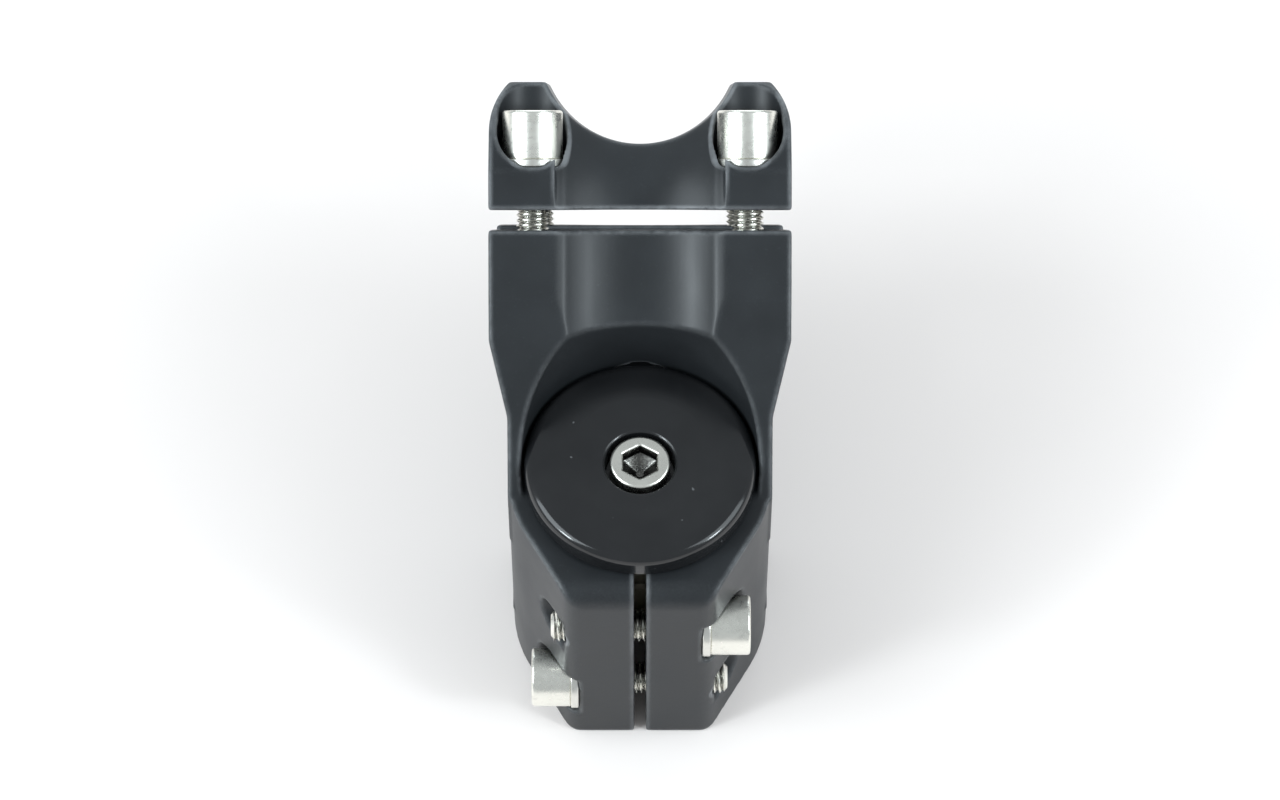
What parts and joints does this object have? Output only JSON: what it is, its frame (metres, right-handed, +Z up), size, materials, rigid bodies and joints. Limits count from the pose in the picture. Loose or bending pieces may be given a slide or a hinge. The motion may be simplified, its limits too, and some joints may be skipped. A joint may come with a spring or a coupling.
{
  "type": "bicycle handlebar stem",
  "caption": "Short threadless bicycle handlebar stem with a steep rise, a windowed faceplate that clamps the bar, a split steerer clamp with staggered pinch bolts, and a top cap",
  "frame": {"origin": "on the steerer axis, at the bottom face of the steerer clamp", "axes": "+Z up the steerer axis, +Y forward to the bar, +X along the bar to the rider's right"},
  "size_m": [0.045, 0.0906, 0.0776],
  "materials": {
    "black_body": "satin black over forged aluminium",
    "black_faceplate": "satin black over forged aluminium",
    "black_cap": "satin black anodised aluminium",
    "silver_steel": "bright plated steel",
    "star_nut_steel": "zinc-plated spring steel"
  },
  "bodies": {
    "stem_body": {"stem_body": "black_body", "star_nut_core": "star_nut_steel", "star_nut_lower_leaf": "star_nut_steel", "star_nut_upper_leaf": "star_nut_steel"},
    "faceplate": {"faceplate": "black_faceplate"},
    "faceplate_washer_upper_left": {"faceplate_washer_upper_left": "silver_steel"},
    "faceplate_bolt_upper_left": {"faceplate_bolt_upper_left": "silver_steel"},
    "faceplate_washer_upper_right": {"faceplate_washer_upper_right": "silver_steel"},
    "faceplate_bolt_upper_right": {"faceplate_bolt_upper_right": "silver_steel"},
    "faceplate_washer_lower_left": {"faceplate_washer_lower_left": "silver_steel"},
    "faceplate_bolt_lower_left": {"faceplate_bolt_lower_left": "silver_steel"},
    "faceplate_washer_lower_right": {"faceplate_washer_lower_right": "silver_steel"},
    "faceplate_bolt_lower_right": {"faceplate_bolt_lower_right": "silver_steel"},
    "pinch_washer_upper": {"pinch_washer_upper": "silver_steel"},
    "pinch_bolt_upper": {"pinch_bolt_upper": "silver_steel"},
    "pinch_washer_lower": {"pinch_washer_lower": "silver_steel"},
    "pinch_bolt_lower": {"pinch_bolt_lower": "silver_steel"},
    "top_cap": {"top_cap": "black_cap"},
    "top_cap_bolt": {"top_cap_bolt": "silver_steel"}
  },
  "joints": [
    {"name": "faceplate_slide", "type": "slide", "parent": "stem_body", "child": "faceplate", "axis": [0, 0.8192, 0.5736], "range_m": [0, 0.035]},
    {"name": "faceplate_bolt_upper_left_out", "type": "slide", "parent": "faceplate", "child": "faceplate_washer_upper_left", "axis": [0, 0.8192, 0.5736], "range_m": [0, 0.01]},
    {"name": "faceplate_bolt_upper_left_turn", "type": "hinge", "parent": "faceplate_washer_upper_left", "child": "faceplate_bolt_upper_left", "pos_m": [-0.016, 0.03741, 0.06927], "axis": [0, 0.8192, 0.5736], "range_deg": [0, 4501]},
    {"name": "faceplate_bolt_upper_right_out", "type": "slide", "parent": "faceplate", "child": "faceplate_washer_upper_right", "axis": [0, 0.8192, 0.5736], "range_m": [0, 0.01]},
    {"name": "faceplate_bolt_upper_right_turn", "type": "hinge", "parent": "faceplate_washer_upper_right", "child": "faceplate_bolt_upper_right", "pos_m": [0.016, 0.03741, 0.06927], "axis": [0, 0.8192, 0.5736], "range_deg": [0, 4501]},
    {"name": "faceplate_bolt_lower_left_out", "type": "slide", "parent": "faceplate", "child": "faceplate_washer_lower_left", "axis": [0, 0.8192, 0.5736], "range_m": [0, 0.01]},
    {"name": "faceplate_bolt_lower_left_turn", "type": "hinge", "parent": "faceplate_washer_lower_left", "child": "faceplate_bolt_lower_left", "pos_m": [-0.016, 0.05909, 0.0383], "axis": [0, 0.8192, 0.5736], "range_deg": [0, 4501]},
    {"name": "faceplate_bolt_lower_right_out", "type": "slide", "parent": "faceplate", "child": "faceplate_washer_lower_right", "axis": [0, 0.8192, 0.5736], "range_m": [0, 0.01]},
    {"name": "faceplate_bolt_lower_right_turn", "type": "hinge", "parent": "faceplate_washer_lower_right", "child": "faceplate_bolt_lower_right", "pos_m": [0.016, 0.05909, 0.0383], "axis": [0, 0.8192, 0.5736], "range_deg": [0, 4501]},
    {"name": "pinch_bolt_upper_out", "type": "slide", "parent": "stem_body", "child": "pinch_washer_upper", "axis": [1, 0, 0], "range_m": [0, 0.01]},
    {"name": "pinch_bolt_upper_turn", "type": "hinge", "parent": "pinch_washer_upper", "child": "pinch_bolt_upper", "pos_m": [0.0094, -0.0175, 0.0275], "axis": [1, 0, 0], "range_deg": [0, 4501]},
    {"name": "pinch_bolt_lower_out", "type": "slide", "parent": "stem_body", "child": "pinch_washer_lower", "axis": [-1, 0, 0], "range_m": [0, 0.01]},
    {"name": "pinch_bolt_lower_turn", "type": "hinge", "parent": "pinch_washer_lower", "child": "pinch_bolt_lower", "pos_m": [-0.0094, -0.0175, 0.011], "axis": [-1, 0, 0], "range_deg": [0, 4501]},
    {"name": "top_cap_lift", "type": "slide", "parent": "stem_body", "child": "top_cap", "axis": [0, 0, 1], "range_m": [0, 0.01]},
    {"name": "top_cap_bolt_turn", "type": "hinge", "parent": "top_cap", "child": "top_cap_bolt", "pos_m": [0, 0, 0.042], "axis": [0, 0, 1], "range_deg": [0, 3601]}
  ],
  "couplings": [
    {"joint": "faceplate_bolt_upper_left_turn", "follows": "faceplate_bolt_upper_left_out", "rad_per_m": 7854},
    {"joint": "faceplate_bolt_upper_right_turn", "follows": "faceplate_bolt_upper_right_out", "rad_per_m": 7854},
    {"joint": "faceplate_bolt_lower_left_turn", "follows": "faceplate_bolt_lower_left_out", "rad_per_m": 7854},
    {"joint": "faceplate_bolt_lower_right_turn", "follows": "faceplate_bolt_lower_right_out", "rad_per_m": 7854},
    {"joint": "pinch_bolt_upper_turn", "follows": "pinch_bolt_upper_out", "rad_per_m": 7854},
    {"joint": "pinch_bolt_lower_turn", "follows": "pinch_bolt_lower_out", "rad_per_m": 7854},
    {"joint": "top_cap_bolt_turn", "follows": "top_cap_lift", "rad_per_m": 6283.2}
  ]
}
